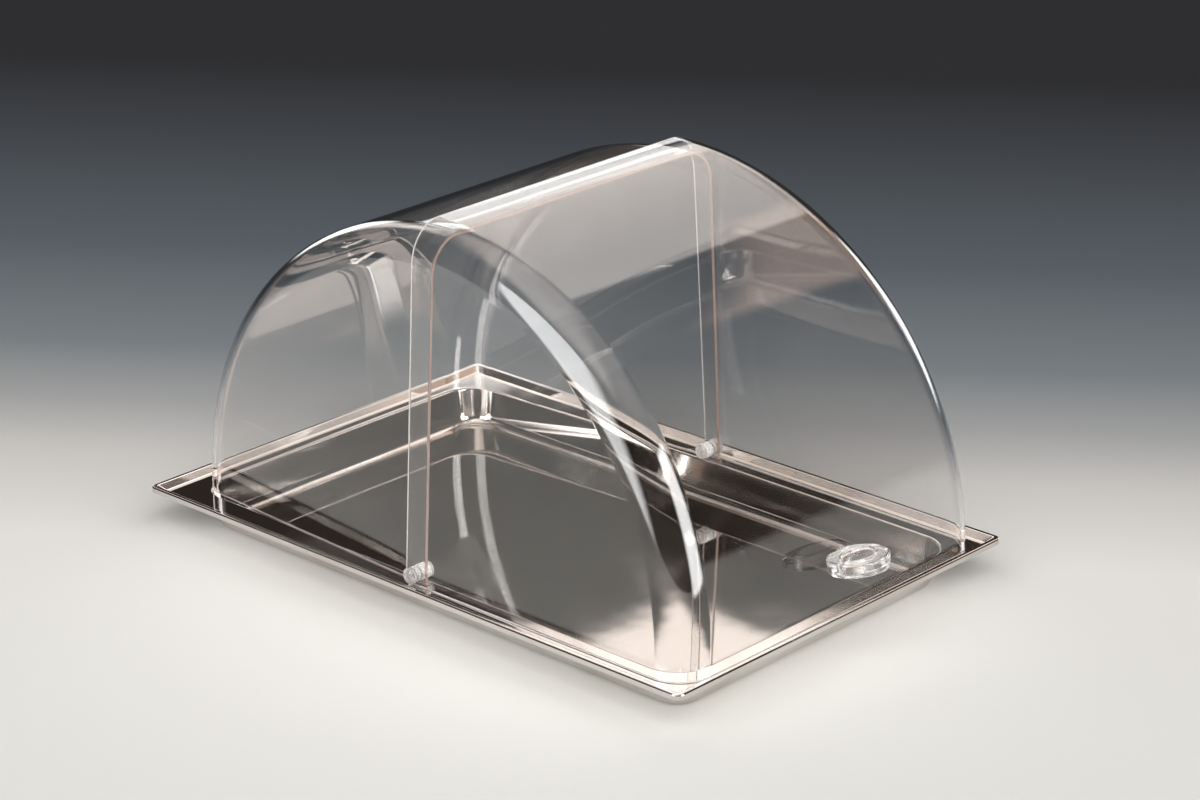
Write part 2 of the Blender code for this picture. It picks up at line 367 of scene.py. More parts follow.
@dataclass(frozen=True)
class ClearPlastic:
    """Clear plastic that lets lamps through, with patches of haze and long faint wipes."""

    name: str
    tint: Colour
    index: float = 1.49
    haze: float = 0.04
    haze_cells: float = 14.0
    haze_band: Point2 = (0.55, 0.85)
    wipe: float = 0.10
    wipe_cells: float = 34.0
    wipe_band: Point2 = (0.58, 0.80)
    wipe_turn: Point3 = (0.35, 0.15, 0.0)
    wipe_stretch: Point3 = (0.22, 1.0, 1.0)
    wave_height: float = 0.00006
    wave_cells: float = 5.0
    lamp_share: Colour = (0.96, 0.96, 0.96)

    def make(self) -> bpy.types.Material:
        """Lay the nodes.

        Returns:
            The material.
        """
        material, sheet = new_material(self.name)
        hazy = sheet.noise(self.haze_cells, detail=2.0, warp=0.5).between(*self.haze_band)
        way = sheet.place(turn=self.wipe_turn, scale=self.wipe_stretch)
        wipes = sheet.noise(self.wipe_cells, detail=1.0, rough=0.4,
                            where=way).between(*self.wipe_band)
        waves = sheet.noise(self.wave_cells, detail=1.0)
        glass = sheet.node("ShaderNodeBsdfPrincipled", {}, {
            "Base Color": self.tint, "IOR": self.index, "Transmission Weight": 1.0,
            "Roughness": self.haze * hazy + self.wipe * wipes * hazy,
            "Normal": sheet.bump(waves, self.wave_height)})
        clear = sheet.node("ShaderNodeBsdfTransparent", {}, {"Color": self.lamp_share})
        lamp_ray = sheet.node("ShaderNodeLightPath", output="Is Shadow Ray")
        sheet.surface(sheet.node("ShaderNodeMixShader", {}, {0: lamp_ray, 1: glass, 2: clear}))
        return material


@dataclass(frozen=True)
class CloudyPlastic:
    """Moulded plastic between clear and milky."""

    name: str
    tint: Colour
    shade: Colour
    clearness: float
    roughness: float
    index: float = 1.5
    cloud_cells: float = 420.0
    cloud_band: Point2 = (0.3, 0.7)
    cloud_share: float = 0.7
    cloud_roughness: float = 0.12
    grain_cells: float = 2600.0
    rub_turns: Point2 = (0.6, 1.7)
    rub_length: float = 0.006
    rub_width: float = 0.00015
    rub_band: Point2 = (0.684, 0.80)
    rub_roughness: float = 0.15
    rub_depth: float = 0.5
    grain_height: float = 0.00002

    def make(self) -> bpy.types.Material:
        """Lay the nodes.

        Returns:
            The material.
        """
        material, sheet = new_material(self.name)
        cloud = sheet.noise(self.cloud_cells, rough=0.6).between(*self.cloud_band)
        grain = sheet.noise(self.grain_cells, detail=2.0)
        rubbed = sheet.scratches(self.rub_turns, self.rub_length, self.rub_width, self.rub_band)
        rough = self.roughness + self.cloud_roughness * cloud + self.rub_roughness * rubbed
        sheet.surface(sheet.node("ShaderNodeBsdfPrincipled", {}, {
            "Base Color": sheet.blend(self.tint, self.shade, cloud * self.cloud_share),
            "Roughness": rough, "IOR": self.index, "Transmission Weight": self.clearness,
            "Normal": sheet.bump(grain + self.rub_depth * rubbed, self.grain_height)}))
        return material


@dataclass(frozen=True)
class GradedFloor:
    """Pale floor whose colour is painted shade, darkening behind the object where the light falls
    off.
    """

    towards: Point2 = (0.801, 0.599)
    near: float = -0.6
    far: float = 1.6
    # Colour stops of painted shade: the floor darkens with distance behind the object.
    shades: tuple[tuple[float, Colour], ...] = (
        (-0.30, (243, 244, 241)), (0.00, (240, 240, 238)), (0.18, (214, 213, 212)),
        (0.31, (172, 174, 176)), (0.46, (131, 138, 144)), (0.75, (96, 104, 112)),
        (1.15, (70, 74, 80)), (1.42, (52, 53, 56)))

    def make(self) -> bpy.types.Material:
        """Lay the nodes.

        Returns:
            The material.
        """
        material, sheet = new_material("graded_floor")
        turn = -math.atan2(self.towards[1], self.towards[0])
        along = sheet.node("ShaderNodeSeparateXYZ", {}, {"Vector": sheet.place((0, 0, turn))})
        span = self.far - self.near
        stops = [((t - self.near) / span, linear(shade)) for t, shade in self.shades]
        # The ramp puts the painted shade into the floor's base colour.
        ramp = sheet.node("ShaderNodeValToRGB", {"stops": stops},
                          {"Fac": (along - self.near) / span})
        sheet.surface(sheet.node("ShaderNodeBsdfPrincipled", {}, {
            "Base Color": ramp, "Roughness": 1.0, "Specular IOR Level": 0.0}))
        return material


# Mesh making


def arc_points(centre: Point2, radius: float, start: float, end: float,
               steps: int) -> list[Point2]:
    """Points of an arc in a plane.

    Args:
        centre: its centre.
        radius: its radius.
        start: first angle, in radians.
        end: last angle, in radians.
        steps: chords.

    Returns:
        steps + 1 points.
    """
    return [(centre[0] + radius * math.cos(start + (end - start) * i / steps),
             centre[1] + radius * math.sin(start + (end - start) * i / steps))
            for i in range(steps + 1)]


def rounded_path(corners: Sequence[tuple[Point2, float]], steps: int) -> list[Point2]:
    """Round the corners of an open path in a plane.

    Args:
        corners: (point, radius) pairs.
        steps: chords in each rounding.

    Returns:
        The points of the rounded path.
    """
    path: list[Point2] = []
    for i, (point, radius) in enumerate(corners):
        here = Vector(point)
        if radius == 0 or i in (0, len(corners) - 1):
            path.append((here.x, here.y))
            continue
        back = (Vector(corners[i - 1][0]) - here).normalized()
        ahead = (Vector(corners[i + 1][0]) - here).normalized()
        half_angle = back.angle(ahead) / 2
        centre = here + (back + ahead).normalized() * radius / math.sin(half_angle)
        first = here + back * radius / math.tan(half_angle) - centre
        sweep = first.angle_signed(here + ahead * radius / math.tan(half_angle) - centre)
        start = math.atan2(first.y, first.x)
        path += arc_points((centre.x, centre.y), radius, start, start - sweep, steps)
    return path


def between_points(first: Point2, last: Point2, parts: int) -> list[Point2]:
    """The points that cut a line into equal parts, without its ends."""
    return [(first[0] + (last[0] - first[0]) * i / parts,
             first[1] + (last[1] - first[1]) * i / parts) for i in range(1, parts)]


def around(radius: float, angle: float) -> Point2:
    """The point at an angle on a circle about the origin."""
    return radius * math.cos(angle), radius * math.sin(angle)


def face_outwards(mesh: bpy.types.Mesh, merge: float = 0.0) -> None:
    """Point a mesh's faces outwards and shade it smooth.

    Args:
        mesh: the mesh.
        merge: distance within which doubled points are merged first.
    """
    builder = bmesh.new()
    builder.from_mesh(mesh)
    if merge:
        bmesh.ops.remove_doubles(builder, verts=builder.verts, dist=merge)
    bmesh.ops.recalc_face_normals(builder, faces=builder.faces)
    builder.to_mesh(mesh)
    builder.free()
    mesh.shade_smooth()


@dataclass
class MeshDraft:
    """Points and faces of one closed piece."""

    name: str
    points: list[Point3] = field(default_factory=list)
    faces: list[tuple[int, ...]] = field(default_factory=list)
    finishes: list[int] = field(default_factory=list)

    def add(self, point: Sequence[float]) -> int:
        """Add a point and return its number."""
        self.points.append((point[0], point[1], point[2]))
        return len(self.points) - 1

    def face(self, numbers: Sequence[int], finish: int = 0) -> None:
        """Add a face, leaving out repeated points."""
        self.faces.append(tuple(dict.fromkeys(numbers)))
        self.finishes.append(finish)

    def strip(self, first: Sequence[int], second: Sequence[int], closed: bool = False,
              finish: int = 0) -> None:
        """Join two rows of points with four-sided faces.

        Args:
            first: one row.
            second: the other.
            closed: whether the rows are rings.
            finish: number of the faces' finish.
        """
        count = len(first)
        for i in range(count if closed else count - 1):
            after = (i + 1) % count
            self.face((first[i], first[after], second[after], second[i]), finish)

    def place(self, matrix: Matrix) -> None:
        """Move every point."""
        self.points = [tuple(matrix @ Vector(point)) for point in self.points]

    def finish(self, *materials: bpy.types.Material) -> bpy.types.Object:
        """Make the object, with its faces pointing out and shaded smooth.

        Args:
            materials: its finishes.

        Returns:
            The linked object.
        """
        mesh = bpy.data.meshes.new(self.name)
        mesh.from_pydata(self.points, [], self.faces)
        for material in materials:
            mesh.materials.append(material)
        mesh.polygons.foreach_set("material_index", self.finishes)
        face_outwards(mesh)
        return put_in_scene(self.name, mesh)


def soften(piece: bpy.types.Object, width: float, segments: int) -> None:
    """Round a piece's sharp edges and keep its flats flat in the light.

    Args:
        piece: the object.
        width: the rounding.
        segments: chords in it.
    """
    if width:
        bevel = piece.modifiers.new("edges", "BEVEL")
        bevel.width = width
        bevel.segments = segments
        bevel.limit_method = "ANGLE"
        bevel.angle_limit = SHARP_ANGLE
    normals = piece.modifiers.new("normals", "WEIGHTED_NORMAL")
    normals.weight = FLAT_WEIGHT
    normals.keep_sharp = False


def settle(piece: bpy.types.Object, body: str, node: str) -> None:
    """Tie a piece to its body, hide the model's node that it stands for, and report it.

    Args:
        piece: the object.
        body: the body that it moves with.
        node: the node that it stands for.
    """
    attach(piece, body)
    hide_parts(node)
    LOG.info("%s rides on %s, %d faces", piece.name, body, len(piece.data.polygons))


@dataclass
class SteelTray:
    """Pressed tray: turned-down lip, flat rim, step, ledge and basin."""

    width: float = 0.400
    length: float = 0.600
    height: float = 0.038
    sheet: float = 0.0010
    rim_corner: float = 0.007
    rim_inner: float = 0.003
    rim_flat: float = 0.0045
    lip: float = 0.005
    step_run: float = 0.005
    ledge_drop: float = 0.005
    side_margin: float = 0.0325
    end_margin: float = 0.027
    basin_corner: float = 0.028
    draft: float = 0.006
    rim_round: float = 0.0015
    basin_round: float = 0.002
    floor_round: float = 0.008
    corner_steps: int = 20
    round_steps: int = 8
    dish_width: float = 0.11
    dish_rise: float = 0.0001
    dish_corner: float = 0.01
    dish_steps: int = 12
    edge_round: float = 0.0003
    edge_steps: int = 2

    def _ring(self, draft: MeshDraft, half: Point2, radius: float, height: float) -> list[int]:
        """One rounded-rectangle ring.

        Args:
            draft: where the points go.
            half: half width and half length.
            radius: corner radius.
            height: its level.

        Returns:
            The numbers of its points.
        """
        ring: list[int] = []
        for quarter, (x, y) in enumerate(((1, 1), (-1, 1), (-1, -1), (1, -1))):
            centre = (x * (half[0] - radius), y * (half[1] - radius))
            start = quarter * math.pi / 2
            ring += [draft.add((px, py, height)) for px, py in
                     arc_points(centre, radius, start, start + math.pi / 2, self.corner_steps)]
        return ring

    def _sections(self) -> tuple[list[Point2], list[Point2]]:
        """Draw the two rounded sections.

        Returns:
            The (inset, height) paths of the rim and of the basin.
        """
        ledge = self.height - self.ledge_drop
        inner = self.rim_flat + self.step_run
        floor = self.sheet + self.dish_rise
        rim = rounded_path([((0, self.height - self.lip), 0),
                            ((0, self.height), self.rim_round),
                            ((self.rim_flat, self.height), self.rim_round),
                            ((inner, ledge), self.rim_round),
                            ((inner + self.rim_round, ledge), 0)], self.round_steps)
        basin = rounded_path([((-self.basin_round, ledge), 0),
                              ((0, ledge), self.basin_round),
                              ((self.draft, floor), self.floor_round),
                              ((self.draft + self.floor_round, floor), 0)],
                             self.round_steps)
        return rim, basin

    def _dish(self, start: Point2) -> list[Point3]:
        """Draw the rings of the pressed floor, which sags a hair.

        Args:
            start: inset and height of the floor's rim.

        Returns:
            The (inset, corner radius, height) rings, from the rim inwards.
        """
        rings = []
        for i in range(1, self.dish_steps + 1):
            share = i / self.dish_steps
            drop = self.dish_rise * (1 - (1 - share) ** 2)
            rings.append((start[0] + self.dish_width * share,
                          self.basin_corner - start[0] + self.dish_corner * share,
                          start[1] - drop))
        return rings

    def build(self, finish: MirrorSteel) -> None:
        """Build and dress the tray.

        Args:
            finish: its steel.
        """
        draft = MeshDraft("steel_tray")
        rim, basin = self._sections()
        rings = [self._ring(draft, (self.width / 2 - inset, self.length / 2 - inset),
                            max(self.rim_corner - inset, self.rim_inner), height)
                 for inset, height in rim]
        half = (self.width / 2 - self.side_margin, self.length / 2 - self.end_margin)
        rings += [self._ring(draft, (half[0] - inset, half[1] - inset),
                             self.basin_corner - inset, height) for inset, height in basin]
        rings += [self._ring(draft, (half[0] - inset, half[1] - inset), corner, height)
                  for inset, corner, height in self._dish(basin[-1])]
        for outer, inner in zip(rings, rings[1:]):
            draft.strip(outer, inner, closed=True)
        draft.face(rings[-1])
        tray = draft.finish(finish.make())
        if tray.data.polygons[-1].normal.z < 0:
            tray.data.flip_normals()
        wall = tray.modifiers.new("sheet", "SOLIDIFY")
        wall.thickness = self.sheet
        wall.offset = -1
        wall.use_even_offset = True
        soften(tray, self.edge_round, self.edge_steps)
        settle(tray, "tray", "tray")


@dataclass
class QuarterShell:
    """A clear quarter drum about the pivot axis, with side walls and a hole at each pivot."""

    name: str
    body: str
    node: str
    facing: int
    half_width: float
    radius: float
    edge: float
    tilt: float
    hole: float
    cone: float = 0.0
    lean: float = 0.0
    wall: float = 0.003
    corner: float = 0.031
    foot: float = 0.0077
    hub: float = 0.026
    margin: float = 0.001
    columns: int = 120
    flat_steps: int = 10
    round_steps: int = 18
    roll_steps: int = 6
    hub_rings: int = 3
    turn_steps: int = 16
    closing_steps: int = 10
    edge_round: float = 0.00035
    edge_steps: int = 3

    def _half_section(self, inset: float) -> list[Point2]:
        """Draw one wall face, from the hub to the middle of the roll.

        Args:
            inset: 0 for the outer face, the wall's thickness for the inner one.

        Returns:
            The (x, radius) points.
        """
        half, radius = self.half_width - inset, self.radius - inset
        end = half - self.cone * radius
        path = rounded_path([((half, 0), 0), ((end, radius), self.corner - inset),
                             ((0, radius), 0)], self.round_steps)
        start = (half - self.cone * self.hub, self.hub)
        return [start, *between_points(start, path[1], self.flat_steps), *path[1:-1],
                *between_points(path[-2], path[-1], self.roll_steps), path[-1]]

    def _angles(self, radius: float) -> list[float]:
        """Space the angles at a distance from the axis.

        Args:
            radius: that distance.

        Returns:
            The angles from the foot to the free edge, in radians.
        """
        first = -math.asin(self.foot / radius)
        low = -math.asin((self.foot - self.margin) / radius)
        square = math.pi / 2 + self.tilt
        high = square + math.asin((self.edge - self.margin) / radius)
        last = square + math.asin(self.edge / radius)
        inner = [low + (high - low) * i / self.columns for i in range(self.columns + 1)]
        return [first, *inner, last]

    def _spot(self, x: float, flat: Point2, half: float) -> Point3:
        """A point of the leaning shell, from its (forward, up) place beside the axis."""
        lean = 1 - self.lean * flat[1] / half
        return x * lean, PIVOT.y + self.facing * flat[0], PIVOT.z + flat[1]

    def _hub_outline(self) -> list[Point2]:
        """Close the hub's outline behind and below the axis.

        Returns:
            The (forward, up) points that close it.
        """
        angles = self._angles(self.hub)
        top, bottom = around(self.hub, angles[-1]), around(self.hub, angles[0])
        if self.tilt:
            turn = arc_points((0, 0), self.foot, math.pi + self.tilt, 1.5 * math.pi,
                              self.turn_steps)
        else:
            turn = [(-self.edge, -self.foot)]
        return [*between_points(top, turn[0], self.closing_steps), *turn,
                *between_points(turn[-1], bottom, self.closing_steps)]

    def _face(self, draft: MeshDraft, inset: float) -> tuple[Rows, Rows, Rows]:
        """Lay one wall face over the whole drum.

        Args:
            draft: where the points go.
            inset: 0 for the outer face, the wall's thickness for the inner one.

        Returns:
            The rows from hub to hub, the two outlines behind the hubs, the two hole rings.
        """
        half = self.half_width - inset
        right = self._half_section(inset)
        section = right + [(-x, r) for x, r in reversed(right[:-1])]
        rows = [[draft.add(self._spot(x, around(r, angle), half)) for angle in self._angles(r)]
                for x, r in section]
        for first, second in zip(rows, rows[1:]):
            draft.strip(first, second)
        outlines, holes = [], []
        extra = self._hub_outline()
        flats = [around(self.hub, angle) for angle in self._angles(self.hub)] + extra
        for side, row in ((1, rows[0]), (-1, rows[-1])):
            behind = [draft.add(self._spot(side * (half - self.cone * math.hypot(*p)), p, half))
                      for p in extra]
            outer = row + behind
            for k in reversed(range(self.hub_rings)):
                ring = []
                for p in flats:
                    reach = math.hypot(*p)
                    near = self.hole + (reach - self.hole) * k / self.hub_rings
                    spot = (p[0] * near / reach, p[1] * near / reach)
                    ring.append(draft.add(
                        self._spot(side * (half - self.cone * near), spot, half)))
                draft.strip(outer, ring, closed=True)
                outer = ring
            outlines.append([row[-1], *behind, row[0]])
            holes.append(outer)
        return rows, outlines, holes

    def build(self, finish: ClearPlastic, edge: CloudyPlastic) -> None:
        """Build and dress the shell.

        Args:
            finish: its plastic.
            edge: the finish of its sawn faces; on the hood a warm tint that is a painted
                reflection.
        """
        draft = MeshDraft(self.name)
        outside, inside = self._face(draft, 0.0), self._face(draft, self.wall)
        for column in (0, -1):
            draft.strip([row[column] for row in outside[0]], [row[column] for row in inside[0]],
                        finish=1)
        for part, closed in ((1, False), (2, True)):
            for outer, inner in zip(outside[part], inside[part]):
                draft.strip(outer, inner, closed, finish=1)
        shell = draft.finish(finish.make(), edge.make())
        soften(shell, self.edge_round, self.edge_steps)
        settle(shell, self.body, self.node)


@dataclass
class FingerLoop:
    """Thick clear oval loop that stands square to the lid's roll."""

    width: float = 0.053
    depth: float = 0.048
    flat: float = 0.0025
    height: float = 0.012
    hole_width: float = 0.032
    hole_depth: float = 0.020
    above_axis: float = 0.041
    roll_radius: float = 0.2887
    seat_gap: float = 0.0003
    rounding: float = 0.0022
    rounding_steps: int = 5
    steps: int = 96

    def _oval(self, width: float, depth: float, angle: float) -> Point2:
        """A point (x, reach) of an oval in front of the seat."""
        return (width / 2 * math.cos(angle),
                self.depth / 2 - self.flat + depth / 2 * math.sin(angle))

    def build(self, finish: CloudyPlastic) -> None:
        """Build and dress the loop.

        Args:
            finish: its plastic.
        """
        draft = MeshDraft("finger_loop")
        seat_angle = math.asin(-(self.depth / 2 - self.flat) / (self.depth / 2))
        outer, inner = [], []
        for i in range(self.steps):
            angle = seat_angle + (math.pi - 2 * seat_angle) * i / (self.steps - 1)
            outer.append(self._oval(self.width, self.depth, angle))
            angle = -math.pi / 2 + math.tau * (i + 0.5) / self.steps
            inner.append(self._oval(self.hole_width, self.hole_depth, angle))
        rings = [[draft.add((x, -y, z)) for x, y in outline]
                 for z in (-self.height / 2, self.height / 2) for outline in (outer, inner)]
        for first, second in ((0, 2), (2, 3), (3, 1), (1, 0)):
            draft.strip(rings[first], rings[second], closed=True)
        rise = math.asin(self.above_axis / self.roll_radius)
        seat = self.roll_radius + self.seat_gap
        spot = PIVOT + Vector((0, -seat * math.cos(rise), seat * math.sin(rise)))
        draft.place(Matrix.Translation(spot) @ Matrix.Rotation(-rise, 4, "X"))
        loop = draft.finish(finish.make())
        soften(loop, self.rounding, self.rounding_steps)
        settle(loop, "lid", "lid_handle")


class RibbedBarrel:
    """Geometry Nodes tree that makes a barrel with a bore and ribs along it."""

    SIZES = {"Outer Radius": 0.0066, "Bore Radius": 0.0033, "Length": 0.0084,
             "Rib Depth": 0.0005, "Edge Rounding": 0.0004}
    CHORDS_PER_RIB = 8.0
    ROUNDING_POINTS = 4
    MERGE_DISTANCE = 1e-6

    def __init__(self, rib_count: int) -> None:
        """Build the tree.

        Args:
            rib_count: how many ribs its barrels have.
        """
        self.rib_count = rib_count
        self.tree = bpy.data.node_groups.new("ribbed_barrel", "GeometryNodeTree")
        face = self.tree.interface
        face.new_socket("Geometry", in_out="OUTPUT", socket_type="NodeSocketGeometry")
        for name in self.SIZES:
            face.new_socket(name, in_out="INPUT", socket_type="NodeSocketFloat")
        face.new_socket("Rib Count", in_out="INPUT", socket_type="NodeSocketInt")
        face.new_socket("Finish", in_out="INPUT", socket_type="NodeSocketMaterial")
        self._lay()

    def _lay(self) -> None:
        """Sweep a rounded section round a circle, press the ribs, set the finish."""
        sheet = NodeSheet(self.tree)
        sizes = {item.name: sheet.node("NodeGroupInput", output=item.name)
                 for item in self.tree.interface.items_tree if item.in_out == "INPUT"}
        outer, bore, ribs = (sizes[name] for name in ("Outer Radius", "Bore Radius", "Rib Count"))
        middle = (outer + bore) * 0.5
        circle = sheet.node("GeometryNodeCurvePrimitiveCircle", {}, {
            "Resolution": ribs * self.CHORDS_PER_RIB, "Radius": middle})
        section = sheet.node("GeometryNodeCurvePrimitiveQuadrilateral", {}, {
            "Width": outer - bore, "Height": sizes["Length"]})
        rounded = sheet.node("GeometryNodeFilletCurve", {"mode": "POLY"}, {
            "Curve": section, "Count": self.ROUNDING_POINTS, "Radius": sizes["Edge Rounding"]})
        swept = sheet.node("GeometryNodeCurveToMesh", {}, {
            "Curve": circle, "Profile Curve": rounded})
        spot = sheet.node("GeometryNodeInputPosition")
        x, y = (sheet.node("ShaderNodeSeparateXYZ", {}, {"Vector": spot}, way) for way in "XY")
        reach = sheet.math("SQRT", x * x + y * y)
        wave = 1.0 - sheet.math("COSINE", sheet.math("ARCTAN2", y, x) * ribs)
        share = wave * -0.5 * sizes["Rib Depth"] / reach
        offset = sheet.node("ShaderNodeCombineXYZ", {}, {"X": x * share, "Y": y * share})
        outside = sheet.node("FunctionNodeCompare", {"operation": "GREATER_THAN"},
                             {"A": reach, "B": middle})
        ribbed = sheet.node("GeometryNodeSetPosition", {}, {
            "Geometry": swept, "Offset": offset, "Selection": outside})
        real = sheet.node("GeometryNodeRealizeInstances", {}, {"Geometry": ribbed})
        dressed = sheet.node("GeometryNodeSetMaterial", {}, {
            "Geometry": real, "Material": sizes["Finish"]})
        sheet.node("NodeGroupOutput", {}, {0: dressed})

    def make(self, name: str, material: bpy.types.Material, place: Matrix) -> bpy.types.Object:
        """Run the tree and keep its result as a plain mesh.

        Args:
            name: the piece's name.
            material: its finish.
            place: where the barrel's middle and its Z axis go.

        Returns:
            The linked object, with no modifier on it.
        """
        carrier = put_in_scene(name, bpy.data.meshes.new(name + "_draft"))
        modifier = carrier.modifiers.new("ribbed_barrel", "NODES")
        modifier.node_group = self.tree
        values = {**self.SIZES, "Rib Count": self.rib_count, "Finish": material}
        for item in self.tree.interface.items_tree:
            if item.in_out == "INPUT":
                modifier[item.identifier] = values[item.name]
        evaluated = carrier.evaluated_get(bpy.context.evaluated_depsgraph_get())
        mesh = bpy.data.meshes.new_from_object(evaluated)
        carrier.modifiers.remove(modifier)
        mesh.transform(place)
        face_outwards(mesh, self.MERGE_DISTANCE)
        carrier.data = mesh
        return carrier


@dataclass
class PivotSet:
    """The pin, washer, ribbed nut and end cap at each end of the axis."""

    head_face: float = 0.18392
    head_length: float = 0.0045
    head_radius: float = 0.007
    shoulder_radius: float = 0.0045
    shank_radius: float = 0.003
    running_fit: float = 0.0003
    washer_face: float = 0.17851
    washer_radius: float = 0.0065
    washer_thickness: float = 0.0010
    nut_face: float = 0.17455
    nut_length: float = 0.0084
    cap_face: float = 0.16585
    cap_radius: float = 0.0064
    cap_length: float = 0.0034
    cap_socket: float = 0.0016
    rib_count: int = 18
    steps: int = 72
    round_steps: int = 6
    washer_steps: int = 5
    tip_round: float = 0.0005
    root_round: float = 0.0001
    shoulder_round: float = 0.0003
    rim_round: float = 0.0004
    head_round: float = 0.0010
    head_dome: float = 0.0011
    crown_dome: float = 0.0002
    crown_share: float = 0.55
    crown_round: float = 0.006
    washer_bore_round: float = 0.00025
    washer_rim_round: float = 0.00035
    washer_seam: float = 0.0001
    socket_round: float = 0.0003
    mouth_round: float = 0.0002
    cap_dome: float = 0.0006
    cap_round: float = 0.0016

    def _turned(self, name: str, side: Side, profile: Sequence[Point2],
                material: bpy.types.Material, closed: bool = False) -> bpy.types.Object:
        """Turn a profile about the pivot axis.

        Args:
            name: the piece's name.
            side: which end of the axis.
            profile: (x, radius) points.
            material: its finish.
            closed: whether the profile's last point joins its first.

        Returns:
            The piece.
        """
        draft = MeshDraft(name)
        rings = []
        for x, radius in profile:
            if radius == 0:
                rings.append([draft.add((side.value * x, 0, 0))] * self.steps)
                continue
            rings.append([draft.add((side.value * x, *around(radius, math.tau * i / self.steps)))
                          for i in range(self.steps)])
        pairs = list(zip(rings, rings[1:])) + ([(rings[-1], rings[0])] if closed else [])
        for first, second in pairs:
            draft.strip(first, second, closed=True)
        draft.place(Matrix.Translation(PIVOT))
        piece = draft.finish(material)
        soften(piece, 0, 0)
        return piece

    def _pin_profile(self) -> list[Point2]:
        """Draw the shank, the shoulder and the round head.

        Returns:
            The (x, radius) points, from the shank's tip outwards.
        """
        end = self.head_face + self.head_length
        tip = self.cap_face - self.cap_socket + self.running_fit
        return rounded_path([
            ((tip, 0), 0), ((tip, self.shank_radius), self.tip_round),
            ((self.washer_face, self.shank_radius), self.root_round),
            ((self.washer_face, self.shoulder_radius), self.shoulder_round),
            ((self.head_face, self.shoulder_radius), self.root_round),
            ((self.head_face, self.head_radius), self.rim_round),
            ((end - self.head_dome, self.head_radius), self.head_round),
            ((end - self.crown_dome, self.crown_share * self.head_radius), self.crown_round),
            ((end, 0), 0)], self.round_steps)

    def _washer_profile(self) -> list[Point2]:
        """Draw the flat ring with its broken edges.

        Returns:
            The (x, radius) points of its closed section.
        """
        bore = self.shoulder_radius + self.running_fit
        outer = self.washer_face + self.washer_thickness
        middle = (bore + self.washer_radius) / 2
        return rounded_path([
            ((outer, middle), 0), ((outer, bore), self.washer_bore_round),
            ((self.washer_face, bore), self.washer_bore_round),
            ((self.washer_face, self.washer_radius), self.washer_rim_round),
            ((outer, self.washer_radius), self.washer_rim_round),
            ((outer, middle + self.washer_seam), 0)], self.washer_steps)

    def _cap_profile(self) -> list[Point2]:
        """Draw the domed cap with a socket for the shank's tip.

        Returns:
            The (x, radius) points, from the socket's floor to the dome's tip.
        """
        bore = self.shank_radius + self.running_fit
        end = self.cap_face - self.cap_length
        return rounded_path([
            ((self.cap_face - self.cap_socket, 0), 0),
            ((self.cap_face - self.cap_socket, bore), self.socket_round),
            ((self.cap_face, bore), self.mouth_round),
            ((self.cap_face, self.cap_radius), self.rim_round),
            ((end + self.cap_dome, self.cap_radius), self.cap_round),
            ((end, 0), 0)], self.round_steps)

    def build(self, cloudy: CloudyPlastic, milky: CloudyPlastic) -> None:
        """Build and dress both pivots.

        Args:
            cloudy: plastic of the pins and caps.
            milky: plastic of the washers and nuts.
        """
        clear_mat, milky_mat = cloudy.make(), milky.make()
        barrel = RibbedBarrel(self.rib_count)
        turn = Matrix.Rotation(math.pi / 2, 4, "Y")
        for side in Side:
            middle = side.value * (self.nut_face - self.nut_length / 2)
            place = Matrix.Translation(PIVOT + Vector((middle, 0, 0))) @ turn
            made = [
                (self._turned(f"round_pin_{side.word}", side, self._pin_profile(), clear_mat),
                 "pivot_pin", Slot.PIVOT),
                (self._turned(f"spacer_washer_{side.word}", side, self._washer_profile(),
                              milky_mat, closed=True), "pivot_washer", Slot.MILKY),
                (barrel.make(f"ribbed_nut_{side.word}", milky_mat, place),
                 "pivot_nut", Slot.MILKY),
                (self._turned(f"end_cap_{side.word}", side, self._cap_profile(), clear_mat),
                 "pivot_cap", Slot.PIVOT)]
            for piece, stem, slot in made:
                settle(piece, "hood", f"{stem}_{side.word}")


def hang(lamp: bpy.types.Light, spot: Point3, facing: Point3,
         spin: float = 0.0) -> bpy.types.Object:
    """Hang a lamp in the studio.

    Args:
        lamp: the light.
        spot: where it hangs.
        facing: which way it shines.
        spin: its turn about that way, in radians.

    Returns:
        Its linked holder.
    """
    holder = put_in_scene(lamp.name, lamp)
    turn = Vector(facing).to_track_quat("-Z", "Y").to_matrix().to_4x4()
    holder.matrix_world = Matrix.Translation(spot) @ turn @ Matrix.Rotation(spin, 4, "Z")
    return holder


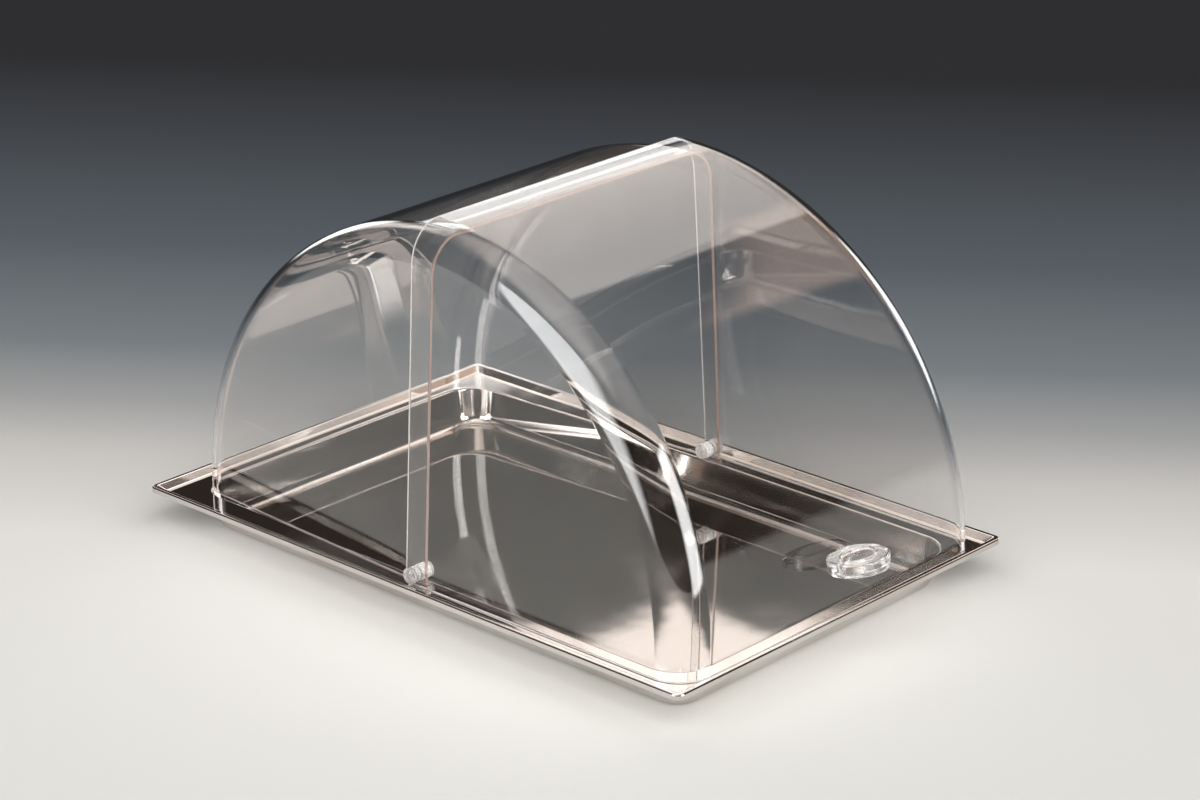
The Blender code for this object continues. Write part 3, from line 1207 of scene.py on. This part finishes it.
@dataclass(frozen=True)
class SoftBox:
    """A rectangular lamp that shows in reflections only.

    Its glow fades towards its four edges and changes along its width.
    """

    WATTS_PER_AREA: ClassVar[float] = 4.0

    name: str
    middle: Point3
    facing: Point3
    size: Point2
    radiance: float
    colour: Colour = (1.0, 1.0, 1.0)
    spin: float = 0.0
    fades: tuple[float, float, float, float] = (0.06, 0.06, 0.06, 0.06)
    shares: tuple[Point2, ...] = ((0.0, 1.0), (1.0, 1.0))

    def build(self) -> None:
        """Hang the lamp."""
        lamp = bpy.data.lights.new(self.name, "AREA")
        lamp.shape = "RECTANGLE"
        lamp.size, lamp.size_y = self.size
        lamp.color = self.colour
        lamp.energy = self.WATTS_PER_AREA * self.size[0] * self.size[1] * self.radiance
        lamp.use_nodes = True
        sheet = NodeSheet(lamp.node_tree)
        spot = sheet.node("ShaderNodeNewGeometry", output="Parametric")
        across = sheet.node("ShaderNodeSeparateXYZ", {}, {"Vector": spot}, "X")
        along = sheet.node("ShaderNodeSeparateXYZ", {}, {"Vector": spot}, "Y")
        glow = sheet.node("ShaderNodeValToRGB", {
            "stops": [(place, (value,) * 3) for place, value in self.shares]}, {"Fac": across})
        inward = (across, 1 - across, along, 1 - along)
        for edge, (way, fade) in enumerate(zip(inward, self.fades)):
            glow = glow * way.between(0, fade / self.size[edge // 2])
        lit = sheet.node("ShaderNodeEmission", {}, {"Strength": glow})
        sheet.node("ShaderNodeOutputLight", {}, {"Surface": lit})
        holder = hang(lamp, self.middle, self.facing, self.spin)
        holder.visible_camera = False
        holder.visible_diffuse = False


@dataclass(frozen=True)
class DistantFill:
    """Broad even light from one side that lights matt surfaces and shows in no reflection."""

    name: str
    heading: Point3
    strength: float
    spread: float = 70.0
    colour: Colour = (1.0, 0.97, 0.94)
    middle: Point3 = (0.0, 0.0, 3.0)

    def build(self) -> None:
        """Hang the lamp."""
        lamp = bpy.data.lights.new(self.name, "SUN")
        lamp.energy = self.strength
        lamp.angle = math.radians(self.spread)
        lamp.color = self.colour
        holder = hang(lamp, self.middle, self.heading)
        holder.visible_glossy = False
        holder.visible_transmission = False


@dataclass(frozen=True)
class Viewpoint:
    """The photograph's viewpoint, as fitted to the tray's edges and the cover's outline."""

    place: Point3 = (-2.0358, -1.9178, 1.2407)
    yaw: float = 0.8248
    pitch: float = 0.3758
    roll: float = -0.003
    lens: float = 109.56
    sensor: float = 36.0

    def build(self) -> None:
        """Set up the camera."""
        ahead = Vector((math.sin(self.yaw) * math.cos(self.pitch),
                        math.cos(self.yaw) * math.cos(self.pitch), -math.sin(self.pitch)))
        level = ahead.cross(Vector((0, 0, 1))).normalized()
        upright = level.cross(ahead)
        right = math.cos(self.roll) * level + math.sin(self.roll) * upright
        up = -math.sin(self.roll) * level + math.cos(self.roll) * upright
        lens = bpy.data.cameras.new("camera")
        lens.lens = self.lens
        lens.sensor_width = self.sensor
        camera = put_in_scene("camera", lens)
        turn = Matrix((right, up, -ahead)).transposed().to_4x4()
        camera.matrix_world = Matrix.Translation(self.place) @ turn
        bpy.context.scene.camera = camera


@dataclass
class Studio:
    """Floor, lamps, room light and camera."""

    fills: tuple[DistantFill, ...] = (
        DistantFill("left_fill", (0.80, 0.25, -0.55), 2.35),
        DistantFill("front_fill", (0.25, 0.80, -0.55), 2.35),
    )
    lamps: tuple[SoftBox, ...] = (
        SoftBox("overhead_soft", (-0.467, -0.055, 1.25), (0, 0, -1), (2.10, 1.25), 1.3,
                (1.0, 0.90, 0.83), math.radians(23.4), (0.55, 0.50, 0.36, 0.36),
                ((0.0, 1.0), (0.45, 0.8), (0.7, 0.55), (1.0, 0.5))),
        SoftBox("overhead_right", (1.225, 0.83, 1.25), (0, 0, -1), (1.65, 1.76), 1.22,
                (1.0, 0.91, 0.85), 0.0, (0.25, 0.06, 0.04, 0.08)),
        SoftBox("left_strip", (-1.46, 0.08, 0.70), (1, 0, 0), (1.20, 1.30), 4.4,
                fades=(0.08, 0.42, 0.10, 0.16)),
        SoftBox("front_strip", (0.20, -1.55, 0.66), (-0.10, 1, 0), (1.10, 1.28), 6.0,
                fades=(0.20, 0.20, 0.06, 0.10)),
        SoftBox("right_strip", (2.40, -0.20, 0.55), (-1, 0, 0), (1.20, 1.10), 1.9,
                fades=(0.15, 0.15, 0.10, 0.15)),
        SoftBox("right_warm_panel", (2.40, -0.30, 1.90), (-1, 0, 0), (1.60, 1.50), 0.75,
                (1.0, 0.70, 0.54), fades=(0.20, 0.30, 0.20, 0.20)),
        SoftBox("back_panel", (1.06, 2.38, 1.90), (-0.454, -0.891, 0), (0.80, 2.60), 1.2,
                (1.0, 0.93, 0.88), fades=(0.30, 0.25, 0.30, 0.30)),
        SoftBox("left_back_strip", (1.45, 2.75, 0.50), (-0.47, -0.88, 0), (1.00, 0.90), 1.6,
                fades=(0.15, 0.15, 0.10, 0.10)),
        SoftBox("crest_strip", (0.80, 0.75, 0.74), (-0.73, -0.68, -0.35), (1.10, 0.17), 0.45,
                (1.0, 0.95, 0.91), fades=(0.12, 0.12, 0.04, 0.03)),
        SoftBox("low_back_strip", (3.57, 3.50, 1.50), (-0.713, -0.701, 0), (1.22, 0.78), 1.5,
                fades=(0.15, 0.15, 0.10, 0.08)),
    )
    floor_reach: float = 12.0
    room_colour: Colour = (0.032, 0.026, 0.022)
    tent_colour: Colour = (0.75, 0.675, 0.6225)
    tent_foot: float = math.sin(math.radians(42.0))
    tent_full: float = math.sin(math.radians(60.0))

    def _floor(self) -> None:
        """A wide plane under the tray."""
        draft = MeshDraft("floor")
        draft.face([draft.add((x * self.floor_reach, y * self.floor_reach, 0))
                    for x, y in ((-1, -1), (1, -1), (1, 1), (-1, 1))])
        floor = draft.finish(GradedFloor().make())
        if floor.data.polygons[0].normal.z < 0:
            floor.data.flip_normals()

    def _room(self) -> None:
        """Dim, warm room with a pale tent overhead."""
        world = bpy.data.worlds.new("room")
        world.use_nodes = True
        sheet = NodeSheet(world.node_tree)
        way = sheet.node("ShaderNodeTexCoord", output="Generated")
        height = sheet.node("ShaderNodeSeparateXYZ", {}, {"Vector": way}, "Z")
        tent = height.between(self.tent_foot, self.tent_full)
        glow = sheet.node("ShaderNodeBackground", {}, {
            "Color": sheet.blend(self.room_colour, self.tent_colour, tent)})
        sheet.node("ShaderNodeOutputWorld", {}, {"Surface": glow})
        world.cycles_visibility.diffuse = False
        bpy.context.scene.world = world

    def build(self) -> None:
        """Set the whole studio."""
        self._floor()
        self._room()
        Viewpoint().build()
        for lamp in (*self.fills, *self.lamps):
            lamp.build()
        bpy.context.scene.view_settings.view_transform = "Standard"
        LOG.info("studio set with %d lamps", len(self.fills) + len(self.lamps))


def main() -> None:
    """Build the studio and every piece."""
    logging.basicConfig(level=logging.INFO, format="%(message)s")
    Studio().build()
    SteelTray().build(MirrorSteel())
    cover = ClearPlastic("clear_cover", (0.980, 0.975, 0.972), index=1.58)
    pale_edge = CloudyPlastic("pale_edge", (0.93, 0.88, 0.86), (0.86, 0.80, 0.78), 0.60, 0.28)
    # Warm brown tint on the hood's sawn edge is a painted reflection, not the plastic's own
    # colour.
    warm_edge = CloudyPlastic("warm_edge", (0.54, 0.37, 0.31), (0.45, 0.29, 0.24), 0.60, 0.28)
    QuarterShell("clear_rear_hood", "hood", "rear_hood", facing=1, half_width=0.17821,
                 radius=0.2795, edge=0.0103, tilt=0.0, hole=0.0033,
                 cone=0.055).build(cover, warm_edge)
    QuarterShell("clear_front_lid", "lid", "front_lid", facing=-1, half_width=0.1832,
                 radius=0.2887, edge=0.0077, tilt=math.radians(0.4), hole=0.0048,
                 lean=0.060).build(cover, pale_edge)
    FingerLoop().build(
        CloudyPlastic("clear_loop", (0.97, 0.97, 0.97), (0.94, 0.94, 0.94), 0.96, 0.015))
    PivotSet().build(
        CloudyPlastic("cloudy_pin", (0.93, 0.92, 0.91), (0.86, 0.84, 0.84), 0.80, 0.07),
        CloudyPlastic("milky_nut", (0.90, 0.89, 0.88), (0.82, 0.80, 0.80), 0.45, 0.22))


if __name__ == "__main__":
    main()
